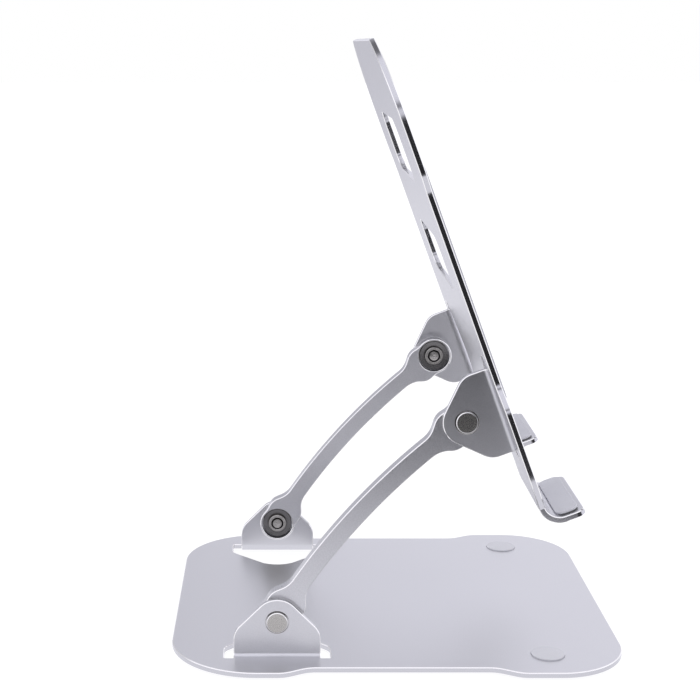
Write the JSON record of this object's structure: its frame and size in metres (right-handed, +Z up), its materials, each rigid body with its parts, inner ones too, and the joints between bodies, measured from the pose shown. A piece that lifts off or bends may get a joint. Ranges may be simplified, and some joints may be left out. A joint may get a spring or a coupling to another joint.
{
  "type": "laptop stand",
  "caption": "Folding aluminium laptop stand: a tilting platform with front hooks on two bowed arms, pivoted by friction bolts on a flat base.",
  "frame": {"origin": "centre of the overall box at desk level, under the middle of the base", "axes": "+X to the front where the hooks are, +Y to the right as seen from behind, +Z up"},
  "size_m": [0.2526, 0.227, 0.3382],
  "materials": {
    "sheet_aluminium": "fine bead-blasted, clear anodised, polished chamfers",
    "arm_aluminium": "fine bead-blasted, clear anodised, polished chamfers",
    "silicone": "matte light grey silicone",
    "rubber": "matte grey rubber",
    "steel": "turned stainless steel",
    "dark_steel": "blackened steel, satin"
  },
  "bodies": {
    "base": {"base_plate": "sheet_aluminium", "foot_rear_left": "rubber", "foot_rear_right": "rubber", "foot_front_left": "rubber", "foot_front_right": "rubber", "bumper_left": "silicone", "bumper_right": "silicone", "lower_left_bolt": "steel", "lower_left_lug_washer": "dark_steel", "lower_left_arm_washer": "dark_steel", "lower_left_spring_inner": "dark_steel", "lower_left_spring_outer": "dark_steel", "lower_left_nut": "steel", "lower_right_bolt": "steel", "lower_right_lug_washer": "dark_steel", "lower_right_arm_washer": "dark_steel", "lower_right_spring_inner": "dark_steel", "lower_right_spring_outer": "dark_steel", "lower_right_nut": "steel"},
    "left_arm": {"arm_left": "arm_aluminium"},
    "right_arm": {"arm_right": "arm_aluminium"},
    "platform": {"platform_plate": "sheet_aluminium", "grip_strip_left": "silicone", "grip_strip_right": "silicone", "hook_pad_left": "silicone", "hook_pad_right": "silicone", "upper_left_bolt": "steel", "upper_left_lug_washer": "dark_steel", "upper_left_arm_washer": "dark_steel", "upper_left_spring_inner": "dark_steel", "upper_left_spring_outer": "dark_steel", "upper_left_nut": "steel", "upper_right_bolt": "steel", "upper_right_lug_washer": "dark_steel", "upper_right_arm_washer": "dark_steel", "upper_right_spring_inner": "dark_steel", "upper_right_spring_outer": "dark_steel", "upper_right_nut": "steel"}
  },
  "joints": [
    {"name": "left_arm_hinge", "type": "hinge", "parent": "base", "child": "left_arm", "pos_m": [-0.0667, -0.0833, 0.0242], "axis": [0, -1, 0], "range_deg": [-18.2, 31.8]},
    {"name": "right_arm_hinge", "type": "hinge", "parent": "base", "child": "right_arm", "pos_m": [-0.0667, 0.0833, 0.0242], "axis": [0, -1, 0], "range_deg": [-18.2, 31.8]},
    {"name": "platform_hinge", "type": "hinge", "parent": "left_arm", "child": "platform", "pos_m": [0.03461, -0.0833, 0.13751], "axis": [0, -1, 0], "range_deg": [-20.7, 87.5]}
  ],
  "couplings": [
    {"joint": "right_arm_hinge", "follows": "left_arm_hinge", "ratio": 1}
  ]
}
